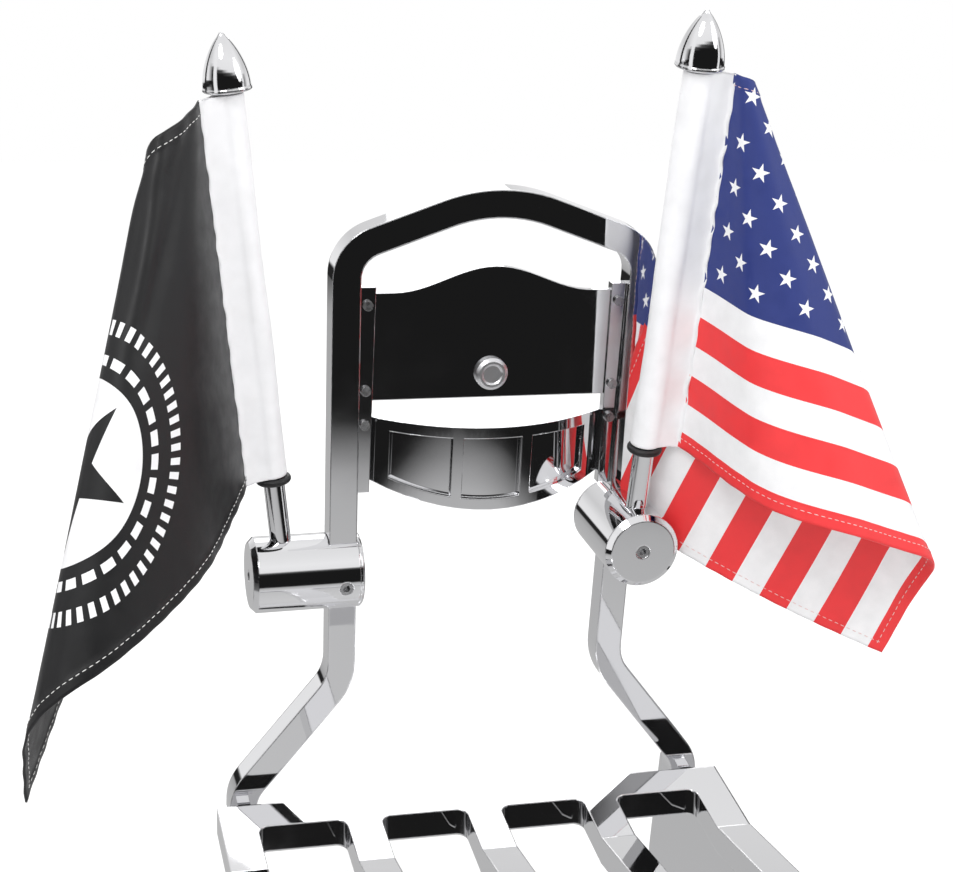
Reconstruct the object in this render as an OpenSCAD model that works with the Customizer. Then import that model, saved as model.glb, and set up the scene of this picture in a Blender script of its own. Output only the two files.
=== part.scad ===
// Square-bar passenger upright with a luggage rack and two clamp-on flag poles.
// +X is the rider's right, +Y points to the front of the vehicle, +Z is up.
// The origin is the middle of the rack's flat deck, on its top face.

/* [Upright bar] */
// Side of the square bar
bar_w = 12.7; // [10:0.1:16]
// Half of the outside width where the arch meets the legs
shoulder_half = 74.7; // [66:0.1:90]
// Half of the outside width just above the splayed feet
waist_half = 71.6; // [66:0.1:86]
// Half of the outside width at the feet
foot_half = 116.6; // [104:0.1:130]
// Height of the waist bend along the bar
waist_h = 58.5; // [50:0.5:75]
// Height of the foot bend along the bar
ankle_h = 2; // [1:0.5:6]
// Height of the shoulder bends along the bar
shoulder_h = 264; // [245:1:320]
// Rise of the arch above its shoulders
arch_rise = 25; // [16:1:40]
// Bend radius at the peak of the arch
peak_r = 70; // [50:1:90]
// Bend radius at the shoulders
shoulder_r = 18; // [14:1:22]
// Bend radius at the waist
waist_r = 26; // [16:1:40]
// Bend radius at the feet
ankle_r = 20; // [12:1:24]
// Rearward lean of the upright in degrees
lean = 8.2; // [4:0.1:14]
// Gap between the rack's front edge and the legs
foot_gap = 7; // [4:0.5:12]

/* [Luggage rack] */
// Overall width of the rack
rack_w = 247.6; // [236:0.1:290]
// Depth of the flat part of the rack
deck_l = 143; // [110:1:190]
// Plan length of the sloping front part
slope_l = 47; // [36:1:60]
// Height of the front edge over the deck
slope_rise = 12; // [6:0.5:16]
// Thickness of the rack
rack_t = 12.7; // [8:0.1:16]
// Width of the outer rails
rail_w = 16.7; // [12:0.1:24]
// Width of the slats
slat_w = 16.5; // [10:0.1:22]
// Number of slats
slats = 3; // [2:1:4]
// Corner radius of the windows
window_r = 5; // [2:0.5:7]

/* [Side plates] */
// Thickness of the side plates
side_t = 6; // [4:0.5:8]
// Height of the side plates below the deck's top face
side_drop = 78; // [60:1:110]
// Radius of the docking holes
dock_r = 4.25; // [3:0.05:5]
// Spacing of the two docking holes of a plate
dock_pitch = 96; // [60:1:110]

/* [Cross plates] */
// Width of the bracket strips at their lower ends
strip_w = 5.8; // [5:0.1:12]
// Thickness of the upper plate and bracket strips
sheet_t = 3; // [2:0.1:4]
// Lower edge of the upper plate along the bar
upper_low = 194.5; // [191:0.5:205]
// Height of the upper plate at its ends
upper_h = 49.5; // [40:0.5:56]
// Extra height of the upper plate at its middle
upper_crown = 11.5; // [4:0.5:16]
// Top edge of the lower plate along the bar
lower_top = 186; // [176:0.5:189]
// Height of the lower plate at its middle
lower_h = 42; // [34:0.5:50]
// Outside radius of the bulge of the lower plate
bulge_r = 110; // [90:1:160]
// Depth of the pockets in the lower plate
pocket_d = 2.6; // [1:0.1:4]
// Diameter of the button on the upper plate
button_d = 15; // [10:0.5:20]

/* [Flag mounts] */
// Diameter of the clamp barrels
barrel_d = 34.9; // [32:0.1:40]
// Length of the clamp barrels
barrel_l = 50.8; // [46:0.1:60]
// Offset of the bar slot from the barrel's axis
slot_off = 1; // [0:0.1:2]
// Clearance of the bar in its slot on each side
slot_gap = 0.3; // [0.2:0.05:0.5]
// Height of the left clamp along the bar
left_h = 112; // [104:1:114]
// Height of the right clamp along the bar
right_h = 131; // [104:1:131]
// Distance of the pole from the bar's centre
pole_out = 25.7; // [22:0.1:30]
// Tilt of the pole towards the outer end of the barrel
pole_tilt = 6.4; // [0:0.1:8]
// Diameter of the poles
pole_d = 9.53; // [8:0.01:11]
// Bare pole between the sleeve and the finial
pole_bare = 1.3; // [0.5:0.1:60]
// Radial clearance of the pole in its socket
socket_gap = 0.08; // [0.03:0.01:0.1]
// Diameter of the clamp screws
screw_d = 6; // [4:0.1:7]

/* [Flags] */
// Height of the flags along the pole
flag_h = 172; // [140:1:180]
// Length of the flags away from the pole
flag_l = 222; // [180:1:260]
// Thickness of the plain flag solids
flag_t = 1; // [0.6:0.1:2]
// Wire diameter of the rubber rings
ring_d = 3.2; // [2:0.1:4]

/* [Hidden] */
$fn = 64;

chrome = "gainsboro";
steel = "silver";
rubber = "dimgray";

half = bar_w / 2;
// The feet run down in front of the rack and stand in notches of the side plates.
foot_drop = 9;
front_y = deck_l / 2 + slope_l;
lean_y = front_y + foot_gap;
// Neighbouring stretches of the bar run this far into each other, which makes them one solid.
joint_lap = 0.002;

// ---- paths with round bends ----
function unit(v) = v / norm(v);
function turn(p, i) = let (a = unit(p[i] - p[i - 1]), b = unit(p[i + 1] - p[i])) acos(a * b);
function trim(p, r, i) = (i == 0 || i == len(p) - 1) ? 0 : r[i] * tan(turn(p, i) / 2);
function side_of(p, i) = let (a = p[i] - p[i - 1], b = p[i + 1] - p[i]) sign(a.x * b.y - a.y * b.x);
function heading(v) = atan2(v.y, v.x);

// A flat bar of width w along the points p, with centre-line bend radii r.
module bent_strip(p, r, w) {
    for (i = [0 : len(p) - 2]) {
        d = unit(p[i + 1] - p[i]);
        from = p[i] + d * trim(p, r, i);
        length = norm(p[i + 1] - p[i]) - trim(p, r, i) - trim(p, r, i + 1);
        translate(from) rotate(heading(d)) translate([-joint_lap, -w / 2])
            square([length + 2 * joint_lap, w]);
    }
    for (i = [1 : len(p) - 2]) {
        s = side_of(p, i);
        d = unit(p[i] - p[i - 1]);
        start = p[i] - d * trim(p, r, i);
        centre = start + s * r[i] * [-d.y, d.x];
        a0 = heading(start - centre);
        a1 = a0 + s * turn(p, i);
        far = 2 * (r[i] + w);
        translate(centre) intersection() {
            difference() {
                circle(r[i] + w / 2, $fn = 128);
                circle(r[i] - w / 2, $fn = 128);
            }
            polygon([[0, 0], far * [cos(a0), sin(a0)],
                     far * [cos((a0 + a1) / 2), sin((a0 + a1) / 2)], far * [cos(a1), sin(a1)]]);
        }
    }
}

// ---- the frame of the leaning upright: x across, y to the front, z along the bar ----
module on_upright() { translate([0, lean_y, slope_rise]) rotate([lean, 0, 0]) children(); }

// Draws a shape of the x-z plane as a slab of thickness t whose rear face is at y.
module slab(y, t) { translate([0, y + t, 0]) rotate([90, 0, 0]) linear_extrude(t) children(); }

leg_slant = atan((shoulder_half - waist_half) / (shoulder_h - waist_h));
function leg_x(h) = waist_half - half + (h - waist_h) * tan(leg_slant);
function leg_inside(h) = leg_x(h) - half / cos(leg_slant);
foot_x = foot_half - half;
half_path = [[foot_x, -foot_drop], [foot_x, ankle_h], [waist_half - half, waist_h],
             [shoulder_half - half, shoulder_h]];
half_radii = [0, ankle_r, waist_r, shoulder_r];
n_half = len(half_path);
bar_path = [for (i = [0 : n_half - 1]) half_path[i], [0, shoulder_h + arch_rise],
            for (i = [n_half - 1 : -1 : 0]) [-half_path[i].x, half_path[i].y]];
bar_radii = [for (i = [0 : n_half - 1]) half_radii[i], peak_r,
             for (i = [n_half - 1 : -1 : 0]) half_radii[i]];

module sissy_bar() {
    color(chrome) on_upright() slab(0, bar_w) bent_strip(bar_path, bar_radii, bar_w);
}

// The straight lower ends of the legs, cut out of what they seat in.
module foot_cuts() {
    on_upright() for (s = [-1, 1])
        translate([s * foot_x - half, 0, -foot_drop - joint_lap]) cube([bar_w, bar_w, foot_drop + bar_w]);
}

// ---- luggage rack ----
rack_rear = -deck_l / 2;
slope_start = deck_l / 2;
window_w = (rack_w - 2 * rail_w - slats * slat_w) / (slats + 1);
window_l = deck_l + slope_l - 2 * rail_w;

module rack_profile() {
    polygon([[rack_rear, 0], [slope_start, 0], [front_y, slope_rise],
             [front_y, slope_rise - rack_t], [slope_start, -rack_t], [rack_rear, -rack_t]]);
}

module round_rectangle(w, l, r) {
    translate([r, 0]) square([w - 2 * r, l]);
    translate([0, r]) square([w, l - 2 * r]);
    for (x = [r, w - r], y = [r, l - r]) translate([x, y]) circle(r);
}

module luggage_rack() {
    color(chrome) difference() {
        translate([-rack_w / 2, 0, 0]) rotate([90, 0, 90]) linear_extrude(rack_w) rack_profile();
        for (i = [0 : slats])
            translate([-rack_w / 2 + rail_w + i * (window_w + slat_w), rack_rear + rail_w, -2 * rack_t])
                linear_extrude(4 * rack_t) round_rectangle(window_w, window_l, window_r);
    }
}

// ---- side plates, which carry the feet and the rack and dock on the vehicle ----
dock_z = -side_drop + 18;
dock_y = front_y - 38;
side_rear = rack_rear + 22;
side_front = front_y + 44;
tongue_mid = front_y + foot_gap + half;
tongue_front = front_y + foot_gap + bar_w + 13;
tongue_top = slope_rise + 4;
tongue_low = slope_rise - 1.5;
slope_low = slope_rise - rack_t;

module side_outline() {
    polygon([[side_rear + 8, -rack_t], [slope_start, -rack_t], [front_y, slope_low],
             [front_y, tongue_low], [tongue_mid, tongue_low], [tongue_mid, tongue_top],
             [tongue_front - 8, tongue_top], [tongue_front, tongue_top - 8],
             [side_front, dock_z + 14], [side_front, dock_z - 6], [side_front - 12, -side_drop],
             [side_rear + 20, -side_drop], [side_rear, -side_drop + 20], [side_rear, -rack_t - 8]]);
}

module side_plate(s) {
    color(chrome) difference() {
        translate([s * foot_x - side_t / 2, 0, 0]) rotate([90, 0, 90]) linear_extrude(side_t) side_outline();
        foot_cuts();
        for (k = [-1, 1])
            translate([s * foot_x, dock_y + k * dock_pitch / 2, dock_z])
                rotate([0, 90, 0]) cylinder(h = 3 * side_t, r = dock_r, center = true);
    }
}

module left_side_plate() { side_plate(-1); }
module right_side_plate() { side_plate(1); }

// ---- plates and strips between the legs ----
plate_y = 4;
strip_low = 151;
plate_half = leg_inside(strip_low) - strip_w;
strip_top = 247;
screw_head_d = 4.6;
screw_head_h = 1.6;
crown_reach = 46;

function crown(x) = abs(x) < crown_reach ? upper_crown * (1 + cos(180 * x / crown_reach)) / 2 : 0;

module upper_plate() {
    color("black") on_upright() slab(plate_y, sheet_t)
        polygon([[-plate_half, upper_low], [plate_half, upper_low], [plate_half, upper_low + upper_h],
                 for (i = [12 : -1 : -12]) let (x = i * crown_reach / 12) [x, upper_low + upper_h + crown(x)],
                 [-plate_half, upper_low + upper_h]]);
}

button_h = 3.4;
button_rise = 11.5;
module plate_button() {
    color(chrome) on_upright() translate([0, plate_y, upper_low + button_rise]) rotate([90, 0, 0])
        rotate_extrude() polygon([[0, 0], [button_d / 2, 0], [button_d / 2, button_h - 1.4],
                                  [button_d / 2 - 1.4, button_h], [button_d / 2 - 2.6, button_h],
                                  [button_d / 2 - 3.4, button_h - 0.8], [0, button_h - 0.8]]);
}

module bracket(s) {
    color(chrome) on_upright() slab(plate_y - 1, sheet_t + 2)
        polygon([[s * plate_half, strip_low], [s * leg_inside(strip_low), strip_low],
                 [s * leg_inside(strip_top), strip_top], [s * plate_half, strip_top]]);
}

module left_bracket() { bracket(-1); }
module right_bracket() { bracket(1); }

module bracket_screws() {
    color(steel) on_upright() for (s = [-1, 1], h = [upper_low - 11, upper_low + 5, strip_top - 8])
        translate([s * (plate_half + leg_inside(h)) / 2, plate_y - 1, h]) rotate([90, 0, 0])
            cylinder(h = screw_head_h, d = screw_head_d);
}

// The lower plate is a curved dish: its plan is a ring sector that bulges to the rear.
lower_t = 6;
bulge_y = plate_y + sheet_t + sqrt(bulge_r * bulge_r - plate_half * plate_half);
pocket_inset = 5.2;
pocket_margin = 6.2;
rib_w = 5;
rib_shift = 2;
lower_lift = 12;
top_dip = 2.5;
outline_steps = 14;

function bow(x, drop) = -drop * (1 - pow(x / plate_half, 2));
module lower_outline(inset, x0, x1) {
    low = lower_top - lower_h + lower_lift;
    xs = [for (i = [0 : outline_steps]) x0 + (x1 - x0) * i / outline_steps];
    polygon([for (x = xs) [x, low + inset + bow(x, lower_lift)],
             for (i = [outline_steps : -1 : 0]) [xs[i], lower_top - inset + bow(xs[i], top_dip)]]);
}

module bulge(r0, r1) {
    translate([0, bulge_y, 0]) difference() {
        cylinder(h = shoulder_h, r = r1, $fn = 128);
        translate([0, 0, -1]) cylinder(h = shoulder_h + 2, r = r0, $fn = 128);
    }
}

first_rib = plate_half / 3 - rib_shift;
pocket_edges = [pocket_margin - plate_half, -first_rib, first_rib, plate_half - pocket_margin];
module lower_plate() {
    color(chrome) on_upright() difference() {
        intersection() {
            bulge(bulge_r - lower_t, bulge_r);
            slab(-bulge_r, 2 * bulge_r) lower_outline(0, -plate_half, plate_half);
        }
        intersection() {
            bulge(bulge_r - pocket_d, bulge_r + lower_t);
            for (i = [0 : 2])
                slab(-bulge_r, 2 * bulge_r)
                    lower_outline(pocket_inset, pocket_edges[i] + rib_w / 2, pocket_edges[i + 1] - rib_w / 2);
        }
    }
}

// ---- flag mounts ----
// In a mount's frame the bar's centre is the origin, x runs to the barrel's outer end,
// y to the bar screw and z up along the bar.
module on_left_mount() {
    on_upright() translate([-leg_x(left_h), half, left_h]) rotate([0, leg_slant, 180]) children();
}
module on_right_mount() {
    on_upright() translate([leg_x(right_h), half, right_h]) rotate([0, leg_slant, 0]) rotate([0, 0, -90])
        children();
}

inner_x = -half - slot_gap;
cap_t = 2;
outer_x = inner_x - cap_t + barrel_l;
barrel_r = barrel_d / 2;
rim_cut = 2.4;
cap_cut = 0.9;
socket_depth = 8;
screw_gap = 0.1;
screw_drop = 2.5;
socket_af = 3;

module along_x() { rotate([0, 90, 0]) children(); }
module on_pole() { translate([pole_out, -slot_off, 0]) rotate([0, pole_tilt, 0]) children(); }
module bar_screw_axis() { translate([0, -slot_off, -screw_drop]) rotate([-90, 0, 0]) children(); }

module clamp_body() {
    difference() {
        translate([inner_x, -slot_off, 0]) along_x()
            rotate_extrude() polygon([[0, 0], [barrel_r, 0], [barrel_r, outer_x - inner_x - rim_cut],
                                      [barrel_r - rim_cut, outer_x - inner_x], [0, outer_x - inner_x]]);
        translate([inner_x - 1, -half - slot_gap, -barrel_d])
            cube([bar_w + 2 * slot_gap + 1, bar_w + 2 * slot_gap, 2 * barrel_d]);
        on_pole() translate([0, 0, -socket_depth]) cylinder(h = barrel_d, r = pole_d / 2 + socket_gap);
        bar_screw_axis() cylinder(h = barrel_d, d = screw_d + 2 * screw_gap);
        translate([pole_out, -slot_off, 0]) along_x() cylinder(h = barrel_l, d = screw_d + 2 * screw_gap);
    }
}

module clamp_cap() {
    translate([inner_x, -slot_off, 0]) rotate([0, -90, 0])
        rotate_extrude() polygon([[0, 0], [barrel_r, 0], [barrel_r, cap_t - cap_cut],
                                  [barrel_r - cap_cut, cap_t], [0, cap_t]]);
}

// A grub screw of length l with a hexagon socket at its outer end.
module grub_screw(l) {
    difference() {
        cylinder(h = l, d = screw_d);
        translate([0, 0, l - 2.5]) cylinder(h = 3, d = socket_af / cos(30), $fn = 6);
    }
}

bar_screw_from = half + slot_gap + 0.1 + slot_off;
bar_screw_l = sqrt(barrel_r * barrel_r - screw_drop * screw_drop) - bar_screw_from - 0.2;
module bar_screw() { bar_screw_axis() translate([0, 0, bar_screw_from]) grub_screw(bar_screw_l); }

pole_screw_from = pole_out + (pole_d / 2 + socket_gap + 0.5) / cos(pole_tilt) + screw_d / 2 * tan(pole_tilt);
module pole_screw() {
    translate([pole_screw_from, -slot_off, 0]) along_x() grub_screw(outer_x - pole_screw_from - 0.3);
}

finial_d = 21;
finial_h = 24;
finial_lip = 1.8;
finial_steps = 16;
finial_socket = 9;
module pole() {
    on_pole() translate([0, 0, -socket_depth + 0.3])
        cylinder(h = pole_l + socket_depth - 0.3 + finial_socket - 0.5, d = pole_d);
}

// A bullet above a short lip.
module finial() {
    bullet_r = finial_d / 2 - 0.3;
    rise = finial_h - finial_lip;
    on_pole() translate([0, 0, pole_l]) difference() {
        rotate_extrude() polygon([[0, 0], [finial_d / 2 - 0.5, 0], [finial_d / 2, 0.5],
                                  [finial_d / 2, finial_lip - 0.3],
                                  for (i = [0 : finial_steps - 1]) let (t = i / finial_steps)
                                      [bullet_r * pow(1 - pow(t, 1.8), 0.8), finial_lip + rise * t],
                                  [0.8, finial_h], [0, finial_h]]);
        translate([0, 0, -1]) cylinder(h = finial_socket + 1, r = pole_d / 2 + 0.02);
    }
}

ring_at = 46.6;
module ring() {
    on_pole() translate([0, 0, ring_at]) rotate_extrude()
        translate([pole_d / 2 + ring_d / 2 + 0.02, 0]) circle(d = ring_d, $fn = 24);
}

sleeve_low = ring_at + ring_d / 2 + 0.5;
pole_l = sleeve_low + flag_h + pole_bare;
sleeve_r = 6.6;
sleeve_gap = 0.4;
seam_x = 15;
seam_t = 1.6;
module sleeve(turn_deg) {
    on_pole() rotate([0, 0, turn_deg]) translate([0, 0, sleeve_low]) difference() {
        linear_extrude(flag_h) {
            circle(sleeve_r);
            polygon([[0, -sleeve_r + 0.3], [seam_x, -seam_t / 2], [seam_x, seam_t / 2], [0, sleeve_r - 0.3]]);
        }
        translate([0, 0, -1]) cylinder(h = flag_h + 2, r = pole_d / 2 + sleeve_gap);
    }
}

// ---- hanging cloth ----
// The cloth is part of a cone whose tip sits apex above the upper hoist corner, so the lines from
// that tip stay straight and keep the angles between them. Turning by lead about the hoist sets
// off the first line, and each row of bends is [angle along the cloth, turning per radian]. The
// cloth is sheared by droop.
fine = 1;
function bend_at(bends, a, i = 0) =
    i >= len(bends) - 1 || a < bends[i + 1][0] ? bends[i][1] : bend_at(bends, a, i + 1);
function pull(d, t, k) = k * cross(d, t) - d;
function next_line(d, t, k) =
    let (r = fine * PI / 180, t1 = unit(t + pull(d, t, k) * r / 2), d1 = unit(d + t1 * r),
         t2 = t1 + pull(d1, t1, k) * r / 2)
    [d1, unit(t2 - d1 * (t2 * d1))];
function directions(lead, bends) =
    [for (i = 0, s = [[0, 0, -1], [cos(lead), sin(lead), 0]]; i <= 90 / fine;
          s = next_line(s[0], s[1], bend_at(bends, i * fine)), i = i + 1) s[0]];
function line_at(dirs, a) = let (i = min(floor(a / fine), len(dirs) - 2), f = a / fine - i)
    unit(dirs[i] * (1 - f) + dirs[i + 1] * f);

// Angle at the cone's tip of the point on the fly edge this far below the tip.
function fly_angle(drop, droop) = atan2(flag_l * cos(droop), drop + flag_l * sin(droop));
function hem_reach(a, drop, droop) = drop / (cos(a) - sin(a) * tan(droop));

cloth_lines = [0, 6, 12, 16, 19, 22, 25, 27, 29, 31, 33, 35, 37, 39, 41, 43, 45, 47, 50, 54, 59, 65, 71, 78];
cloth_rows = 4;
cloth_tip = 1.5;
line_gap = 1;

module cloth(apex, lead, bends, droop) {
    dirs = directions(lead, bends);
    low = fly_angle(apex + flag_h, droop);
    high = fly_angle(apex, droop);
    angles = [for (a = cloth_lines) if (a < low - line_gap) a, low,
              for (a = cloth_lines) if (a > low + line_gap && a < high - 2 * line_gap) a, high];
    n = len(angles);
    m = cloth_rows + 1;
    spokes = [for (a = angles) line_at(dirs, a)];
    outer = [for (a = angles)
        a <= low ? hem_reach(a, apex + flag_h, droop) : flag_l * cos(droop) / sin(a)];
    inner = [for (j = [0 : n - 1]) min(hem_reach(angles[j], apex, droop), outer[j] - cloth_tip)];
    faces_out = [for (j = [0 : n - 1])
        unit(cross(spokes[j], spokes[min(n - 1, j + 1)] - spokes[max(0, j - 1)]))];
    function spot(k, j, side) = [0, 0, apex]
        + spokes[j] * (inner[j] + (outer[j] - inner[j]) * k / cloth_rows)
        + faces_out[j] * side * flag_t / 2;
    points = [for (side = [1, -1], k = [0 : m - 1], j = [0 : n - 1]) spot(k, j, side)];
    c = m * n;
    function at(k, j) = k * n + j;
    quads = [
        for (k = [0 : m - 2], j = [0 : n - 2]) [at(k, j), at(k + 1, j), at(k + 1, j + 1), at(k, j + 1)],
        for (k = [0 : m - 2], j = [0 : n - 2])
            [c + at(k, j), c + at(k, j + 1), c + at(k + 1, j + 1), c + at(k + 1, j)],
        for (k = [0 : m - 2]) [at(k, 0), c + at(k, 0), c + at(k + 1, 0), at(k + 1, 0)],
        for (k = [0 : m - 2]) [at(k, n - 1), at(k + 1, n - 1), c + at(k + 1, n - 1), c + at(k, n - 1)],
        for (j = [0 : n - 2]) [at(0, j), at(0, j + 1), c + at(0, j + 1), c + at(0, j)],
        for (j = [0 : n - 2]) [at(m - 1, j), c + at(m - 1, j), c + at(m - 1, j + 1), at(m - 1, j + 1)]];
    polyhedron(points, [for (q = quads) for (i = [1, 2]) [q[0], q[i], q[i + 1]]], convexity = 6);
}

module flag(turn_deg, apex, lead, bends, droop) {
    on_pole() rotate([0, 0, turn_deg]) translate([seam_x + 0.6, 0, sleeve_low + flag_h])
        cloth(apex, lead, bends, droop);
}

left_turn = 31.3;
left_apex = 51.3;
left_lead = 37.2;
left_bends = [[0, 0.36], [8, 1.33], [16, 2.32], [27.5, 16.4], [35.6, -0.15], [62.8, 0]];
left_droop = 10.9;
right_turn = 79.8;
right_apex = 12.9;
right_lead = -60.4;
right_bends = [[0, 0.56], [8, -0.06], [16, -6.82], [24, -5.53], [32, 0], [37.4, -14.5], [46.8, 1],
               [68.4, 2.9]];
right_droop = 0.9;

module left_clamp_body() { color(chrome) on_left_mount() clamp_body(); }
module left_clamp_cap() { color(chrome) on_left_mount() clamp_cap(); }
module left_bar_screw() { color(steel) on_left_mount() bar_screw(); }
module left_pole_screw() { color(steel) on_left_mount() pole_screw(); }
module left_pole() { color(chrome) on_left_mount() pole(); }
module left_finial() { color(chrome) on_left_mount() finial(); }
module left_ring() { color(rubber) on_left_mount() ring(); }
module left_sleeve() { color("white") on_left_mount() sleeve(left_turn); }
module left_flag() {
    color("black") on_left_mount() flag(left_turn, left_apex, left_lead, left_bends, left_droop);
}

module right_clamp_body() { color(chrome) on_right_mount() clamp_body(); }
module right_clamp_cap() { color(chrome) on_right_mount() clamp_cap(); }
module right_bar_screw() { color(steel) on_right_mount() bar_screw(); }
module right_pole_screw() { color(steel) on_right_mount() pole_screw(); }
module right_pole() { color(chrome) on_right_mount() pole(); }
module right_finial() { color(chrome) on_right_mount() finial(); }
module right_ring() { color(rubber) on_right_mount() ring(); }
module right_sleeve() { color("white") on_right_mount() sleeve(right_turn); }
module right_flag() {
    color("crimson") on_right_mount() flag(right_turn, right_apex, right_lead, right_bends, right_droop);
}

sissy_bar();
luggage_rack();
left_side_plate();
right_side_plate();
upper_plate();
plate_button();
lower_plate();
left_bracket();
right_bracket();
bracket_screws();
left_clamp_body();
left_clamp_cap();
left_bar_screw();
left_pole_screw();
left_pole();
left_finial();
left_ring();
left_sleeve();
left_flag();
right_clamp_body();
right_clamp_cap();
right_bar_screw();
right_pole_screw();
right_pole();
right_finial();
right_ring();
right_sleeve();
right_flag();
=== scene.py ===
"""Looks of a chromed passenger upright with a luggage rack and two small flags on clamp-on poles."""

import math

import bpy
import numpy as np
from mathutils import Matrix, Vector


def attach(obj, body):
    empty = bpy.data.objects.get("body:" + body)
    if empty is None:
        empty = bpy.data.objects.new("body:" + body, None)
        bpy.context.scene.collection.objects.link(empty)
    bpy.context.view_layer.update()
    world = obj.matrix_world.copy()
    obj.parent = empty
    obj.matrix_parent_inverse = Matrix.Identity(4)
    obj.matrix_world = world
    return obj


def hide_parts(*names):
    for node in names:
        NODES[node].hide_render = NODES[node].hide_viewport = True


bl_info = {
    "name": "Flag mount looks",
    "version": (1, 0, 0),
    "blender": (4, 5, 0),
    "location": "View3D > Sidebar > Flag mount",
    "description": "Chrome, rubber, hung flags, sleeves, stitches and a studio for the flag mount model",
    "category": "Object",
}

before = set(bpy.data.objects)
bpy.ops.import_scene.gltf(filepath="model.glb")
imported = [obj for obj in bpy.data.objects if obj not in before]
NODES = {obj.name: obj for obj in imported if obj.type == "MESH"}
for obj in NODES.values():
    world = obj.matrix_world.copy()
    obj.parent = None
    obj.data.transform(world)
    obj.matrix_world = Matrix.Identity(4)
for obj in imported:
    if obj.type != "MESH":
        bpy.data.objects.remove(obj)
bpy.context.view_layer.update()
SIDES = ("left", "right")
MM = 0.001

# Sizes that the flag mounts share with the solid model, in millimetres and degrees.
BAR = 12.7
WAIST_HALF, WAIST_H, SHOULDER_HALF, SHOULDER_H = 71.6, 58.5, 74.7, 264.0
LEAN, LEAN_Y, SLOPE_RISE = 8.2, 125.5, 12.0
CLAMP_H = {"left": 112.0, "right": 131.0}
POLE_OUT, SLOT_OFF, POLE_TILT = 25.7, 1.0, 6.4
POLE_R = 4.765
RING_AT, RING_D = 46.6, 3.2
SLEEVE_LOW = RING_AT + RING_D / 2 + 0.5
SLEEVE_R = 6.6
SEAM_X, SEAM_GAP = 15.0, 0.2
POLE_PLAY = 0.25
FLOOR_Z = -0.078

# Half opening in degrees of a sleeve's pocket at its seam, half thickness of the seam, and length and half
# thickness of the flap that grips the flag, in millimetres.
POCKET_OPEN, SEAM_HALF, FLAP_L, FLAP_HALF = 38, 0.75, 2.0, 0.62

# Steps of the cloth's straight lines and the last line, in degrees, and the pitch of the cloth's grid in metres.
LINE_STEP, LAST_LINE = 0.25, 92
GRID_PITCH = 0.0018
STITCHES_APART = 0.45
HEM_POINTS = 120

# Prints. The star's half angle is that of each of its points; a row and a star are shares of one stripe, and a
# band of the roundel has two radii as shares of the disc's, a number of bars and the printed share of each.
STAR_TIP = math.radians(18)
HEM_HIDES, COLUMN_W = 0.0030, 0.0115
CANTON_COLUMNS, CANTON_STRIPES, STAR_ROWS = 12, 7, 9
ROW_SHARE, STAR_SHARE = 0.7, 0.3
ROUNDEL_FLY, ROUNDEL_DOWN, ROUNDEL_R, ROUNDEL_STAR = 0.536, 0.552, 0.2064, 0.86
ROUNDEL_BANDS = ((1.14, 1.25, 30, 0.66), (1.46, 1.62, 64, 0.5))

# Studio: the mirror room's radius, rings and points per ring, what its rear and front show from below to above,
# its upright strips (turn, half width, lowest and highest place, tone), the three area lights (place, size) with
# what they aim at, and the camera's place, axes and lens.
ROOM_R, ROOM_RINGS, ROOM_AROUND, ROOM_Z = 3, 24, 48, 0.12
ROOM_REAR = ((0.0, 0.72), (0.22, 0.60), (0.258, 0.50), (0.278, 0.012), (0.60, 0.012), (0.64, 0.10),
             (0.67, 0.95), (0.80, 1.0), (1.0, 0.9))
ROOM_FRONT = ((0.0, 0.60), (0.40, 0.50), (0.455, 0.42), (0.47, 0.02), (0.515, 0.02), (0.53, 0.95),
              (0.60, 0.92), (0.70, 0.72), (0.85, 0.9), (1.0, 1.0))
ROOM_STRIPS = ((-1.15, 0.16, -0.30, 0.6, 1.0), (1.35, 0.10, -0.38, 0.7, 1.0), (2.4, 0.12, -0.5, 0.8, 0.02),
               (-2.2, 0.12, -0.5, 0.8, 0.02))
FLOOR_SIZE = 14.0
KEY_LIGHT, KEY_AIM = ((-0.9, -1.1, 1.5), 0.7), (0, 0.05, 0.15)
FILL_LIGHT, FILL_AIM = ((1.3, -0.8, 0.9), 0.9), (0, 0.05, 0.15)
BACK_LIGHT, BACK_AIM = ((0.4, 1.6, 1.3), 1.0), (0, 0.1, 0.1)
SKY_ANGLE, SKY_TILT = 70, (14, -8)
CAMERA_AT = (-0.23192, -0.73848, 0.35788)
CAMERA_RIGHT = (0.96625602, -0.25718863, 0.01425854)
CAMERA_UP = (0.03600675, 0.18967412, 0.98118665)
CAMERA_AIM = (0.25505453, 0.94756411, -0.19253429)
SENSOR_W, LENS, CLIP_START = 36.0, 73.58, 0.01

# How each flag hangs: turn of its seam about the pole, height over the seam of the tip that the cloth's straight
# lines run from, lead of the cloth at the seam, the lines where its bending changes with the turning per radian
# from there on, the sag of its free end and the share of the full waves that it takes. Each crease has two ends
# on the flat cloth, a height and a width.
HANG = {
    "left": {"turn": 31.3, "apex": 51.3, "lead": 37.2, "droop": 10.9,
             "bends": ((0, 0.36), (8, 1.33), (16, 2.32), (27.5, 16.4), (35.6, -0.15), (62.8, 0.0)), "waves": 0.5,
             "creases": (((13, 2), (84, 84), 1.7, 5.0), ((40, 4), (80, 62), 1.5, 4.5),
                         ((4, 120), (60, 90), 0.8, 7.0))},
    "right": {"turn": 79.8, "apex": 12.9, "lead": -60.4, "droop": 0.9,
              "bends": ((0, 0.56), (8, -0.06), (16, -6.82), (24, -5.53), (32, 0.0), (37.4, -14.5), (46.8, 1.0),
                        (68.4, 2.9)), "waves": 0.45, "creases": ()},
}


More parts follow.
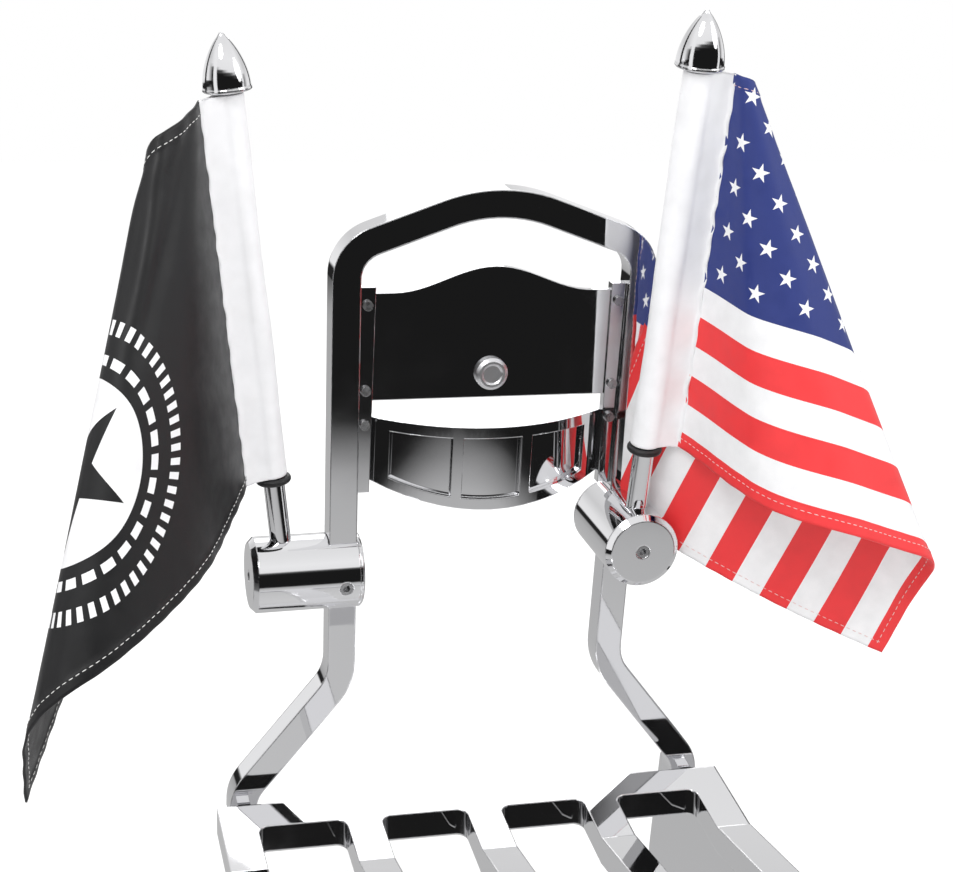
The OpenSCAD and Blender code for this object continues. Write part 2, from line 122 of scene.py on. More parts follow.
# ---------------------------------------------------------------- settings
class FlagSizes(bpy.types.PropertyGroup):
    hoist: bpy.props.FloatProperty(name="Hoist", description="Height of a flag along its pole",
                                   default=0.172, min=0.1, max=0.3, unit="LENGTH")
    fly: bpy.props.FloatProperty(name="Fly", description="Length of a flag away from its pole",
                                 default=0.222, min=0.1, max=0.4, unit="LENGTH")
    stripe: bpy.props.FloatProperty(name="Stripe width", description="Width of one printed stripe",
                                    default=0.01395, min=0.005, max=0.02, unit="LENGTH")
    thickness: bpy.props.FloatProperty(name="Cloth thickness", description="Thickness of one layer of cloth",
                                       default=0.00045, min=0.0002, max=0.001, unit="LENGTH")
    hem: bpy.props.FloatProperty(name="Hem width", description="Width of the folded hem of a flag",
                                 default=0.0055, min=0.002, max=0.01, unit="LENGTH")
    stitch: bpy.props.FloatProperty(name="Stitch length", description="Length of one stitch of the hems",
                                    default=0.0021, min=0.001, max=0.004, unit="LENGTH")
    thread: bpy.props.FloatProperty(name="Thread thickness", description="Thickness of the sewing thread",
                                    default=0.00042, min=0.0002, max=0.001, unit="LENGTH")


def colour(name, description, default):
    return bpy.props.FloatVectorProperty(name=name, description=description, default=default,
                                         size=3, min=0, max=1, subtype="COLOR")


class Finishes(bpy.types.PropertyGroup):
    chrome: colour("Chrome", "Colour of the polished chrome", (0.80, 0.80, 0.815))
    rubber: colour("Rubber", "Colour of the rubber rings", (0.012, 0.012, 0.013))
    sleeve: colour("Sleeve", "Colour of the white pole sleeves", (0.86, 0.86, 0.87))
    black_cloth: colour("Black cloth", "Ground colour of the left flag", (0.010, 0.010, 0.011))
    stripe_red: colour("Stripe red", "Red of the right flag's stripes", (0.80, 0.030, 0.034))
    canton_blue: colour("Canton blue", "Blue of the right flag's canton", (0.016, 0.032, 0.19))
    print_white: colour("Print white", "White of the printed stars, stripes and roundel", (0.82, 0.82, 0.83))


class Studio(bpy.types.PropertyGroup):
    key_power: bpy.props.FloatProperty(name="Key light", description="Power of the large key light",
                                       default=10.0, min=0, unit="POWER")
    fill_power: bpy.props.FloatProperty(name="Fill light", description="Power of the fill light",
                                        default=4.0, min=0, unit="POWER")
    sky_power: bpy.props.FloatProperty(name="Sky light", description="Strength of the soft light from overhead",
                                       default=0.45, min=0)
    floor: colour("Floor", "Colour of the pale floor", (0.92, 0.92, 0.92))


# ---------------------------------------------------------------- node helpers
class Shader:
    """Builds one material's node tree."""

    def __init__(self, name):
        self.material = bpy.data.materials.new(name)
        self.material.use_nodes = True
        self.tree = self.material.node_tree
        self.bsdf = self.tree.nodes["Principled BSDF"]

    def add(self, kind, **values):
        node = self.tree.nodes.new(kind)
        for key, value in values.items():
            setattr(node, key, value)
        return node

    def put(self, value, socket):
        if isinstance(value, bpy.types.NodeSocket):
            self.tree.links.new(value, socket)
        else:
            socket.default_value = value

    def math(self, operation, a, b=0.0, c=0.0):
        node = self.add("ShaderNodeMath", operation=operation)
        for value, socket in zip((a, b, c), node.inputs):
            self.put(value, socket)
        return node.outputs[0]

    def mix(self, factor, a, b):
        node = self.add("ShaderNodeMix", data_type="RGBA")
        self.put(factor, node.inputs["Factor"])
        self.put(a if isinstance(a, bpy.types.NodeSocket) else (*a, 1.0), node.inputs[6])
        self.put(b if isinstance(b, bpy.types.NodeSocket) else (*b, 1.0), node.inputs[7])
        return node.outputs[2]

    def spread(self, value, low, high, to_low, to_high):
        node = self.add("ShaderNodeMapRange")
        for socket, v in zip(node.inputs, (value, low, high, to_low, to_high)):
            self.put(v, socket)
        return node.outputs[0]

    def object_coords(self):
        return self.add("ShaderNodeTexCoord").outputs["Object"]

    def cloth_coords(self):
        """Distance along the fly and down the hoist, both from 0 to 1."""
        split = self.add("ShaderNodeSeparateXYZ")
        self.put(self.add("ShaderNodeUVMap", uv_map="cloth").outputs[0], split.inputs[0])
        return split.outputs["X"], split.outputs["Y"]

    def noise(self, coords, scale, detail=3.0, stretch=None):
        if stretch:
            mapping = self.add("ShaderNodeMapping")
            mapping.inputs["Scale"].default_value = stretch
            self.put(coords, mapping.inputs["Vector"])
            coords = mapping.outputs[0]
        node = self.add("ShaderNodeTexNoise")
        self.put(coords, node.inputs["Vector"])
        node.inputs["Scale"].default_value = scale
        node.inputs["Detail"].default_value = detail
        return node.outputs["Fac"]

    def bump(self, height, strength, distance, normal=None):
        node = self.add("ShaderNodeBump")
        node.inputs["Strength"].default_value = strength
        node.inputs["Distance"].default_value = distance
        self.put(height, node.inputs["Height"])
        if normal:
            self.put(normal, node.inputs["Normal"])
        return node.outputs[0]


# ---------------------------------------------------------------- materials
def chrome_finish(name, tint, edge=0.0007, dull=0.0):
    """Polished plating: faint smudges in the gloss, slow ripple from polishing and rounded edges."""
    s = Shader(name)
    coords = s.object_coords()
    smudge = s.noise(coords, 45, 4)
    s.bsdf.inputs["Base Color"].default_value = (*tint, 1)
    s.bsdf.inputs["Metallic"].default_value = 1.0
    s.put(s.spread(smudge, 0.42, 0.75, 0.025 + dull, 0.075 + dull), s.bsdf.inputs["Roughness"])
    rounded = s.add("ShaderNodeBevel", samples=6)
    rounded.inputs["Radius"].default_value = edge
    ripple = s.bump(s.noise(coords, 28, 1), 0.5, 0.00010, rounded.outputs[0])
    scuff = s.bump(s.noise(coords, 900, 2, (1, 1, 0.25)), 0.08, 0.00001, ripple)
    s.put(scuff, s.bsdf.inputs["Normal"])
    return s.material


def steel_finish(name):
    s = Shader(name)
    coords = s.object_coords()
    s.bsdf.inputs["Metallic"].default_value = 1.0
    s.put(s.mix(s.noise(coords, 300, 3), (0.42, 0.42, 0.43), (0.62, 0.62, 0.63)), s.bsdf.inputs["Base Color"])
    s.put(s.spread(s.noise(coords, 500, 2), 0.3, 0.7, 0.18, 0.34), s.bsdf.inputs["Roughness"])
    rounded = s.add("ShaderNodeBevel", samples=4)
    rounded.inputs["Radius"].default_value = 0.0003
    s.put(s.bump(s.noise(coords, 1500, 2), 0.15, 0.00002, rounded.outputs[0]), s.bsdf.inputs["Normal"])
    return s.material


def rubber_finish(name, tint):
    s = Shader(name)
    coords = s.object_coords()
    dust = s.noise(coords, 700, 4)
    s.put(s.mix(s.spread(dust, 0.5, 0.8, 0, 0.35), tint, (0.06, 0.06, 0.06)), s.bsdf.inputs["Base Color"])
    s.put(s.spread(dust, 0.3, 0.7, 0.38, 0.6), s.bsdf.inputs["Roughness"])
    s.bsdf.inputs["Specular IOR Level"].default_value = 0.5
    s.put(s.bump(dust, 0.2, 0.00004), s.bsdf.inputs["Normal"])
    return s.material


def weave_height(s, u, v, wide, tall, pitch):
    """Plain weave: threads over and under each other at the given pitch in metres."""
    a = s.math("SINE", s.math("MULTIPLY", u, 2 * math.pi * wide / pitch))
    b = s.math("SINE", s.math("MULTIPLY", v, 2 * math.pi * tall / pitch))
    return s.math("MULTIPLY_ADD", s.math("MULTIPLY", a, b), 0.5, 0.5)


def cloth_surface(s, base, wide, tall, roughness, sheen, pitch=0.0006):
    """Woven surface shared by the flags and the sleeves, with painted shade where the weave's threads dip."""
    u, v = s.cloth_coords()
    coords = s.object_coords()
    weave = weave_height(s, u, v, wide, tall, pitch)
    wear = s.noise(coords, 120, 4)
    # Painted shade: the base colour is darkened where the weave's threads dip and lightened on their tops, mixed
    # with a random tone from the wear noise.
    weave_shade_and_wear = s.spread(s.math("MULTIPLY_ADD", weave, 0.35, s.math("MULTIPLY", wear, 0.65)), 0.2, 0.8, 0.88, 1.06)
    tone = s.add("ShaderNodeVectorMath", operation="SCALE")
    s.put(base, tone.inputs[0])
    s.put(weave_shade_and_wear, tone.inputs["Scale"])
    s.put(tone.outputs[0], s.bsdf.inputs["Base Color"])
    s.put(s.spread(wear, 0.3, 0.7, roughness - 0.06, roughness + 0.06), s.bsdf.inputs["Roughness"])
    s.bsdf.inputs["Sheen Weight"].default_value = sheen
    s.bsdf.inputs["Sheen Roughness"].default_value = 0.35
    fold = s.bump(s.noise(coords, 70, 3), 0.35, 0.0006)
    s.put(s.bump(weave, 0.25, 0.00008, fold), s.bsdf.inputs["Normal"])


def both(s, *tests):
    result = tests[0]
    for t in tests[1:]:
        result = s.math("MULTIPLY", result, t)
    return result


def star_mask(s, x, y, radius):
    """1 inside a five-pointed star of that radius about x = y = 0, with a point towards +y."""
    angle = s.math("ARCTAN2", x, y)
    fifth = 2 * math.pi / 5
    folded = s.math("SUBTRACT", s.math("FLOORED_MODULO", s.math("ADD", angle, fifth / 2), fifth), fifth / 2)
    reach = s.math("SQRT", s.math("ADD", s.math("MULTIPLY", x, x), s.math("MULTIPLY", y, y)))
    edge = s.math("MULTIPLY", reach, s.math("SINE", s.math("ADD", s.math("ABSOLUTE", folded), STAR_TIP)))
    return s.math("LESS_THAN", edge, radius * math.sin(STAR_TIP))


def striped_cloth(name, sizes, looks):
    """Thirteen stripes and a canton of fifty stars; the hems take a little off the outer stripes."""
    s = Shader(name)
    u, v = s.cloth_coords()
    stripe_w = sizes.stripe
    along = s.math("MULTIPLY", u, sizes.fly)
    down = s.math("MULTIPLY_ADD", v, sizes.hoist, HEM_HIDES)
    stripe = s.math("FLOOR", s.math("DIVIDE", down, stripe_w))
    is_white = s.math("FLOORED_MODULO", stripe, 2)
    field = s.mix(is_white, looks.stripe_red, looks.print_white)
    row_w = ROW_SHARE * stripe_w
    in_canton = both(s, s.math("LESS_THAN", along, CANTON_COLUMNS * COLUMN_W),
                     s.math("LESS_THAN", down, CANTON_STRIPES * stripe_w))
    column, row = s.math("DIVIDE", along, COLUMN_W), s.math("DIVIDE", down, row_w)
    p = s.math("ROUND", s.math("MULTIPLY", s.math("ADD", column, row), 0.5))
    q = s.math("ROUND", s.math("MULTIPLY", s.math("SUBTRACT", column, row), 0.5))
    i, j = s.math("ADD", p, q), s.math("SUBTRACT", p, q)
    x = s.math("MULTIPLY", s.math("SUBTRACT", column, i), COLUMN_W)
    y = s.math("MULTIPLY", s.math("SUBTRACT", j, row), row_w)
    star = star_mask(s, x, y, STAR_SHARE * stripe_w)
    in_grid = both(s, s.math("GREATER_THAN", i, 0.5), s.math("LESS_THAN", i, CANTON_COLUMNS - 0.5),
                   s.math("GREATER_THAN", j, 0.5), s.math("LESS_THAN", j, STAR_ROWS + 0.5))
    canton = s.mix(both(s, star, in_grid), looks.canton_blue, looks.print_white)
    cloth_surface(s, s.mix(in_canton, field, canton), sizes.fly, sizes.hoist, 0.5, 0.08)
    s.bsdf.inputs["Specular IOR Level"].default_value = 0.45
    return s.material


def roundel_cloth(name, sizes, looks):
    """Black ground with a plain white roundel that carries a black star, inside two rings of short bars."""
    s = Shader(name)
    u, v = s.cloth_coords()
    x = s.math("MULTIPLY", s.math("SUBTRACT", u, ROUNDEL_FLY), sizes.fly)
    y = s.math("MULTIPLY", s.math("SUBTRACT", ROUNDEL_DOWN, v), sizes.hoist)
    reach = s.math("SQRT", s.math("ADD", s.math("MULTIPLY", x, x), s.math("MULTIPLY", y, y)))
    disc_r = ROUNDEL_R * sizes.hoist
    star = star_mask(s, x, y, disc_r * ROUNDEL_STAR)
    turn = s.math("DIVIDE", s.math("ADD", s.math("ARCTAN2", x, y), math.pi), 2 * math.pi)

    def band(low, high, bars, share):
        bar = s.math("LESS_THAN", s.math("FRACT", s.math("MULTIPLY", turn, bars)), share)
        return both(s, s.math("GREATER_THAN", reach, disc_r * low), s.math("LESS_THAN", reach, disc_r * high), bar)

    disc = s.math("MULTIPLY", s.math("LESS_THAN", reach, disc_r), s.math("SUBTRACT", 1, star))
    rings = s.math("MAXIMUM", *(band(*values) for values in ROUNDEL_BANDS))
    white = s.math("MAXIMUM", disc, rings)
    cloth_surface(s, s.mix(white, looks.black_cloth, looks.print_white), sizes.fly, sizes.hoist, 0.42, 0.05)
    s.bsdf.inputs["Specular IOR Level"].default_value = 0.42
    return s.material


def sleeve_cloth(name, looks):
    s = Shader(name)
    base = s.mix(s.noise(s.object_coords(), 60, 3), looks.sleeve, (0.80, 0.80, 0.82))
    cloth_surface(s, base, 0.05, 0.17, 0.75, 0.15, 0.0007)
    return s.material


def thread_finish(name, tint):
    s = Shader(name)
    coords = s.object_coords()
    s.put(s.mix(s.noise(coords, 2500, 2), tint, tuple(0.8 * c for c in tint)), s.bsdf.inputs["Base Color"])
    s.bsdf.inputs["Roughness"].default_value = 0.6
    s.put(s.bump(s.noise(coords, 4000, 2), 0.4, 0.00005), s.bsdf.inputs["Normal"])
    return s.material


def paint(name, material):
    """Gives a CAD node its material."""
    slots = NODES[name].material_slots
    if slots:
        slots[0].material = material
    else:
        NODES[name].data.materials.append(material)


# ---------------------------------------------------------------- where things are
def shift(x, y, z):
    return Matrix.Translation(Vector((x, y, z)) * MM)


def turned(degrees, axis):
    return Matrix.Rotation(math.radians(degrees), 4, axis)


def pole_frame(side):
    """Matrix of a pole: z along the pole from the barrel's axis, x to the barrel's outer end."""
    slant = math.degrees(math.atan((SHOULDER_HALF - WAIST_HALF) / (SHOULDER_H - WAIST_H)))
    h = CLAMP_H[side]
    leg_x = WAIST_HALF - BAR / 2 + (h - WAIST_H) * math.tan(math.radians(slant))
    upright = shift(0, LEAN_Y, SLOPE_RISE) @ turned(LEAN, "X")
    if side == "left":
        mount = upright @ shift(-leg_x, BAR / 2, h) @ turned(180, "Z") @ turned(slant, "Y")
    else:
        mount = upright @ shift(leg_x, BAR / 2, h) @ turned(slant, "Y") @ turned(-90, "Z")
    return mount @ shift(POLE_OUT, -SLOT_OFF, 0) @ turned(POLE_TILT, "Y")


def moved(matrix, points):
    m = np.array(matrix, float)
    return points @ m[:3, :3].T + m[:3, 3]


# ---------------------------------------------------------------- hung cloth
def unit(v):
    return v / np.linalg.norm(v, axis=-1, keepdims=True)


def cloth_lines(hang):
    """Directions of the straight lines that run down the cloth from its tip, one per step of angle."""
    lead = math.radians(hang["lead"])
    d, t = np.array([0.0, 0, -1]), np.array([math.cos(lead), math.sin(lead), 0.0])
    r = math.radians(LINE_STEP)
    rows = []
    for i in range(int(LAST_LINE / LINE_STEP) + 1):
        rows.append(d)
        k = [turning for start, turning in hang["bends"] if start <= i * LINE_STEP][-1]
        t1 = unit(t + (k * np.cross(d, t) - d) * r / 2)
        d1 = unit(d + t1 * r)
        t2 = t1 + (k * np.cross(d1, t1) - d1) * r / 2
        d, t = d1, unit(t2 - d1 * np.dot(t2, d1))
    return np.array(rows)


def hung_points(hang, u, w):
    """Places of the cloth's points u along the fly and w down the hoist, in the frame of the seam's upper end."""
    rows = cloth_lines(hang)
    droop, apex = math.radians(hang["droop"]), hang["apex"] * MM
    across, down = u * math.cos(droop), apex + w + u * math.sin(droop)
    reach, angle = np.hypot(across, down), np.degrees(np.arctan2(across, down))
    at = np.clip(angle / LINE_STEP, 0, len(rows) - 1.001)
    low = at.astype(int)
    part = (at - low)[..., None]
    return unit(rows[low] * (1 - part) + rows[low + 1] * part) * reach[..., None] + np.array([0, 0, apex])


def grid_normals(points):
    """Unit normals of a grid of points."""
    along = np.gradient(points, axis=1)
    down = np.gradient(points, axis=0)
    n = np.cross(down, along)
    return n / np.maximum(np.linalg.norm(n, axis=-1, keepdims=True), 1e-12)


def ripple(hang, u, w, fly, hoist):
    """Gentle waves of the hanging cloth and small puckers along its hems, in metres along the normal."""
    reach, angle = np.hypot(u, w), np.arctan2(u, w)
    free = np.clip(u / (0.25 * fly), 0, 1) ** 1.5
    wave = 0.0016 * np.sin(9.0 * angle + 0.6) * (reach / fly) + 0.0009 * np.sin(17.0 * angle + 30 * reach)
    hem = np.exp(-((hoist - w) / 0.009) ** 2) + np.exp(-(w / 0.009) ** 2)
    pucker = 0.00035 * np.sin(2 * math.pi * u / 0.013 + 1.0) * hem
    pucker += 0.00035 * np.sin(2 * math.pi * w / 0.012) * np.exp(-((fly - u) / 0.009) ** 2)
    pucker += 0.0003 * np.sin(2 * math.pi * w / 0.0085) * np.exp(-(u / 0.006) ** 2)
    shape = hang["waves"] * (free * wave + pucker)
    for (u0, w0), (u1, w1), high, wide in hang["creases"]:
        length = math.hypot(u1 - u0, w1 - w0)
        along = ((u / MM - u0) * (u1 - u0) + (w / MM - w0) * (w1 - w0)) / length ** 2
        off = ((u / MM - u0) * (w1 - w0) - (w / MM - w0) * (u1 - u0)) / length
        shape = shape + high * MM * np.exp(-(off / wide) ** 2 - (2.2 * (along - 0.45)) ** 4)
    return shape


def stops(length, hem, pitch, both_ends):
    """Grid lines across the cloth, closer together where a hem's step is."""
    edge = [0, 0.25 * hem, 0.6 * hem, 0.9 * hem, 1.0 * hem, 1.12 * hem]
    low = edge if both_ends else [0.0, pitch / 2]
    high = [length - e for e in reversed(edge)]
    count = int((high[0] - low[-1]) / pitch)
    middle = np.linspace(low[-1], high[0], count + 1)[1:-1]
    return np.array([*low, *middle, *high])


def hem_profile(u, w, sizes):
    """1 in the folded hems and 0 in the single cloth, with a short slope between them."""
    inside = np.minimum(np.minimum(w, sizes.hoist - w), sizes.fly - u)
    return np.clip((1.1 * sizes.hem - inside) / (0.2 * sizes.hem), 0, 1)


class HungCloth:
    """The surface of one hanging flag, from which its mesh and its stitch lines are taken."""

    def __init__(self, side, sizes):
        self.hang, self.sizes = HANG[side], sizes
        seam = pole_frame(side) @ turned(self.hang["turn"], "Z")
        self.place = seam @ shift(SEAM_X + SEAM_GAP, 0, SLEEVE_LOW + sizes.hoist / MM)
        self.us = stops(sizes.fly, sizes.hem, GRID_PITCH, False)
        self.ws = stops(sizes.hoist, sizes.hem, GRID_PITCH, True)
        u, w = np.meshgrid(self.us, self.ws)
        middle = hung_points(self.hang, u, w)
        middle = middle + grid_normals(middle) * ripple(self.hang, u, w, sizes.fly, sizes.hoist)[..., None]
        self.middle = moved(self.place, middle.reshape(-1, 3)).reshape(middle.shape)
        self.normals = grid_normals(self.middle)
        self.u, self.w = u, w
        self.half = sizes.thickness / 2 * (1 + 1.1 * hem_profile(u, w, sizes))

    def face(self, side):
        return self.middle + side * self.normals * self.half[..., None]

    def at(self, u, w, side, lift):
        """Points on one face of the cloth, raised a little off it."""
        rows, columns = np.interp(w, self.ws, range(len(self.ws))), np.interp(u, self.us, range(len(self.us)))
        r, c = np.minimum(rows.astype(int), len(self.ws) - 2), np.minimum(columns.astype(int), len(self.us) - 2)
        a, b = (rows - r)[:, None], (columns - c)[:, None]

        def between(g):
            top = g[r, c] * (1 - b) + g[r, c + 1] * b
            return top * (1 - a) + (g[r + 1, c] * (1 - b) + g[r + 1, c + 1] * b) * a

        return between(self.face(side)) + side * lift * between(self.normals)


def mesh_object(name, points, faces, uvs):
    mesh = bpy.data.meshes.new(name)
    mesh.from_pydata([tuple(p) for p in points], [], faces)
    layer = mesh.uv_layers.new(name="cloth")
    index = np.empty(len(mesh.loops), np.int32)
    mesh.loops.foreach_get("vertex_index", index)
    layer.data.foreach_set("uv", np.asarray(uvs, np.float32)[index].ravel())
    mesh.validate()
    mesh.polygons.foreach_set("use_smooth", [True] * len(mesh.polygons))
    mesh.update()
    made = bpy.data.objects.new(name, mesh)
    bpy.context.scene.collection.objects.link(made)
    return made


def closed_grid(front, back):
    """Faces of a closed slab whose two sides are grids of the same shape, front first."""
    rows, columns = front.shape[:2]
    size = rows * columns
    quads = []
    for r in range(rows - 1):
        for c in range(columns - 1):
            a, b = r * columns + c, r * columns + c + 1
            d, e = a + columns, b + columns
            quads += [(a, d, e, b), (size + a, size + b, size + e, size + d)]
    rim = ([(0, c) for c in range(columns)] + [(r, columns - 1) for r in range(1, rows)]
           + [(rows - 1, c) for c in range(columns - 2, -1, -1)] + [(r, 0) for r in range(rows - 2, 0, -1)])
    ids = [r * columns + c for r, c in rim]
    for a, b in zip(ids, ids[1:] + ids[:1]):
        quads.append((a, b, size + b, size + a))
    return quads


def make_flag(side, sizes, material):
    cloth = HungCloth(side, sizes)
    front, back = cloth.face(1), cloth.face(-1)
    points = np.concatenate([front.reshape(-1, 3), back.reshape(-1, 3)])
    uv = np.stack([cloth.u.ravel() / sizes.fly, cloth.w.ravel() / sizes.hoist], axis=1)
    flag = mesh_object(side + "_hung_flag", points, closed_grid(front, back), np.concatenate([uv, uv]))
    flag.data.materials.append(material)
    return flag, cloth


# ---------------------------------------------------------------- sleeves
def sleeve_outline(side, count=44):
    """Points round a sleeve's section: the pole pocket, then the flattened seam that holds the flag."""
    lead = math.radians(HANG[side]["lead"])
    start = math.radians(POCKET_OPEN)
    points = []
    for i in range(count + 1):
        a = start + (2 * math.pi - 2 * start) * i / count
        points.append((SLEEVE_R * math.cos(a), SLEEVE_R * math.sin(a), 0.0))
    tip = []
    for t in np.linspace(0, 1, 9)[1:]:
        x = SLEEVE_R * math.cos(start) + (SEAM_X - SLEEVE_R * math.cos(start)) * t
        tip.append((x, (SLEEVE_R * math.sin(start) - SEAM_HALF) * (1 - t) ** 1.7 + SEAM_HALF, t))
    end = (SEAM_X + FLAP_L * math.cos(lead), FLAP_L * math.sin(lead))
    side_off = (-FLAP_HALF * math.sin(lead), FLAP_HALF * math.cos(lead))
    lower = [(x, -y, t) for x, y, t in tip]
    flap = [(end[0] - side_off[0], end[1] - side_off[1], 1.0), (end[0] + side_off[0], end[1] + side_off[1], 1.0)]
    return np.array(points + lower + flap + tip[::-1])


def make_sleeve(side, sizes, material):
    """A closed tube of cloth: outer wall with wrinkles, turned-in ends and an inner wall round the pole."""
    outline = sleeve_outline(side)
    n = len(outline)
    height = sizes.hoist / MM
    levels = np.concatenate([[0, 0.4, 1.2], np.linspace(2, height - 2, 96), [height - 1.2, height - 0.4, height]])
    weight = outline[:, 2]
    angle = np.arctan2(outline[:, 1], outline[:, 0])
    phase = 0.0 if side == "left" else 1.9
    rings = []
    for z in levels:
        wrinkle = 0.16 * math.sin(z / 2.1 + phase + 1.3 * math.sin(z / 17)) * (0.25 + weight)
        slow = 0.22 * np.sin(2 * angle + z / 19 + phase) + 0.12 * np.sin(3 * angle - z / 11)
        edge = min(z, height - z)
        tuck = 0.35 * max(0.0, 1 - edge / 1.2) ** 2
        grow = 1 + (wrinkle + slow * (1 - weight) - tuck) / SLEEVE_R
        across = outline[:, 1] * (grow + 0.10 * wrinkle * weight)
        ring = np.stack([outline[:, 0] * grow, across, np.full(n, z)], axis=1)
        ring[:, 0] += 0.28 * math.sin(z / 3.3 + phase) * weight ** 3
        rings.append(ring)
    inner = []
    bore = POLE_R + POLE_PLAY
    for z in (height - 0.1, height - 3, 3, 0.1):
        inner.append(np.stack([bore * np.cos(angle), bore * np.sin(angle), np.full(n, z)], axis=1))
    rows = rings + inner
    points = np.concatenate(rows) + np.array([0, 0, SLEEVE_LOW])
    points = moved(pole_frame(side) @ turned(HANG[side]["turn"], "Z"), points * MM)
    faces, count = [], len(rows)
    for k in range(count):
        for i in range(n):
            a, b = k * n + i, k * n + (i + 1) % n
            c, d = (k + 1) % count * n + (i + 1) % n, (k + 1) % count * n + i
            faces.append((a, b, c, d))
    around = np.concatenate([[0], np.cumsum(np.linalg.norm(np.diff(outline[:, :2], axis=0), axis=1))]) * MM / 0.05
    uvs = np.array([(around[i], row[0, 2] / height) for row in rows for i in range(n)])
    sleeve = mesh_object(side + "_pole_sleeve", points, faces, uvs)
    sleeve.data.materials.append(material)
    return sleeve


# ---------------------------------------------------------------- stitches
def stitch_tree():
    """Geometry Nodes: short rounded stitches along every edge line of the input mesh."""
    tree = bpy.data.node_groups.new("stitches along lines", "GeometryNodeTree")
    face = tree.interface
    face.new_socket("Geometry", in_out="INPUT", socket_type="NodeSocketGeometry")
    for name in ("Stitch length", "Gap", "Thread thickness"):
        face.new_socket(name, in_out="INPUT", socket_type="NodeSocketFloat")
    face.new_socket("Thread", in_out="INPUT", socket_type="NodeSocketMaterial")
    face.new_socket("Geometry", in_out="OUTPUT", socket_type="NodeSocketGeometry")
    add, link = tree.nodes.new, tree.links.new
    source, out = add("NodeGroupInput"), add("NodeGroupOutput")
    curve = add("GeometryNodeMeshToCurve")
    link(source.outputs["Geometry"], curve.inputs["Mesh"])
    pitch = add("ShaderNodeMath")
    link(source.outputs["Stitch length"], pitch.inputs[0])
    link(source.outputs["Gap"], pitch.inputs[1])
    spots = add("GeometryNodeCurveToPoints")
    spots.mode = "LENGTH"
    link(curve.outputs["Curve"], spots.inputs["Curve"])
    link(pitch.outputs[0], spots.inputs["Length"])
    aim = add("FunctionNodeAlignRotationToVector")
    aim.axis = "Z"
    link(spots.outputs["Tangent"], aim.inputs["Vector"])
    bead = add("GeometryNodeMeshUVSphere")
    bead.inputs["Segments"].default_value = 6
    bead.inputs["Rings"].default_value = 4
    bead.inputs["Radius"].default_value = 0.5
    size = add("ShaderNodeCombineXYZ")
    for axis in ("X", "Y"):
        link(source.outputs["Thread thickness"], size.inputs[axis])
    link(source.outputs["Stitch length"], size.inputs["Z"])
    place = add("GeometryNodeInstanceOnPoints")
    link(spots.outputs["Points"], place.inputs["Points"])
    link(bead.outputs["Mesh"], place.inputs["Instance"])
    link(aim.outputs["Rotation"], place.inputs["Rotation"])
    link(size.outputs[0], place.inputs["Scale"])
    real = add("GeometryNodeRealizeInstances")
    link(place.outputs["Instances"], real.inputs["Geometry"])
    dress = add("GeometryNodeSetMaterial")
    link(real.outputs["Geometry"], dress.inputs["Geometry"])
    link(source.outputs["Thread"], dress.inputs["Material"])
    link(dress.outputs["Geometry"], out.inputs["Geometry"])
    return tree


def input_of(tree, name):
    """Identifier of a tree's named input."""
    return next(i.identifier for i in tree.interface.items_tree if i.name == name and i.in_out == "INPUT")


def sew(name, lines, tree, sizes, material):
    """Turns lines of points into one mesh of stitches."""
    mesh = bpy.data.meshes.new(name + "_lines")
    points, edges = [], []
    for line in lines:
        first = len(points)
        points += [tuple(p) for p in line]
        edges += [(first + i, first + i + 1) for i in range(len(line) - 1)]
    mesh.from_pydata(points, edges, [])
    guide = bpy.data.objects.new(name + "_guide", mesh)
    bpy.context.scene.collection.objects.link(guide)
    modifier = guide.modifiers.new("stitches", "NODES")
    modifier.node_group = tree
    modifier[input_of(tree, "Stitch length")] = sizes.stitch
    modifier[input_of(tree, "Gap")] = STITCHES_APART * sizes.stitch
    modifier[input_of(tree, "Thread thickness")] = sizes.thread
    modifier[input_of(tree, "Thread")] = material
    bpy.context.view_layer.update()
    made = bpy.data.meshes.new_from_object(guide.evaluated_get(bpy.context.evaluated_depsgraph_get()))
    bpy.data.objects.remove(guide)
    made.name = name
    made.polygons.foreach_set("use_smooth", [True] * len(made.polygons))
    stitches = bpy.data.objects.new(name, made)
    bpy.context.scene.collection.objects.link(stitches)
    if not len(made.polygons):
        raise RuntimeError(name + " has no stitches")
    return stitches


def hem_lines(cloth, sizes):
    """Stitch lines along the top, fly and bottom hems, on both faces of the cloth."""
    inset = 0.82 * sizes.hem
    top, bottom, end = inset, sizes.hoist - inset, sizes.fly - inset
    us, ws = np.linspace(0.002, end, HEM_POINTS), np.linspace(top, bottom, HEM_POINTS)
    level = np.ones(HEM_POINTS)
    paths = [(us, top * level), (end * level, ws), (us[::-1], bottom * level)]
    return [cloth.at(u, w, side, 0.1 * sizes.thread) for side in (1, -1) for u, w in paths]


# ---------------------------------------------------------------- operators
class FLAGMOUNT_OT_chrome(bpy.types.Operator):
    """Polished chrome on the upright, the rack, the plates and the clamps"""
    bl_idname = "flagmount.chrome"
    bl_label = "Chrome the metalwork"

    def execute(self, context):
        looks = context.scene.flagmount_finishes
        bar = chrome_finish("bar chrome", looks.chrome, 0.0011)
        plate = chrome_finish("plate chrome", looks.chrome, 0.0005)
        barrel = chrome_finish("barrel chrome", looks.chrome, 0.0009)
        for name in ("sissy_bar", "luggage_rack"):
            paint(name, bar)
        for name in ("left_side_plate", "right_side_plate", "upper_plate", "lower_plate", "left_bracket",
                     "right_bracket"):
            paint(name, plate)
        paint("plate_button", chrome_finish("button chrome", looks.chrome, 0.0005, 0.3))
        for side in SIDES:
            for part in ("clamp_body", "clamp_cap", "pole", "finial"):
                paint(f"{side}_{part}", barrel)
        return {"FINISHED"}


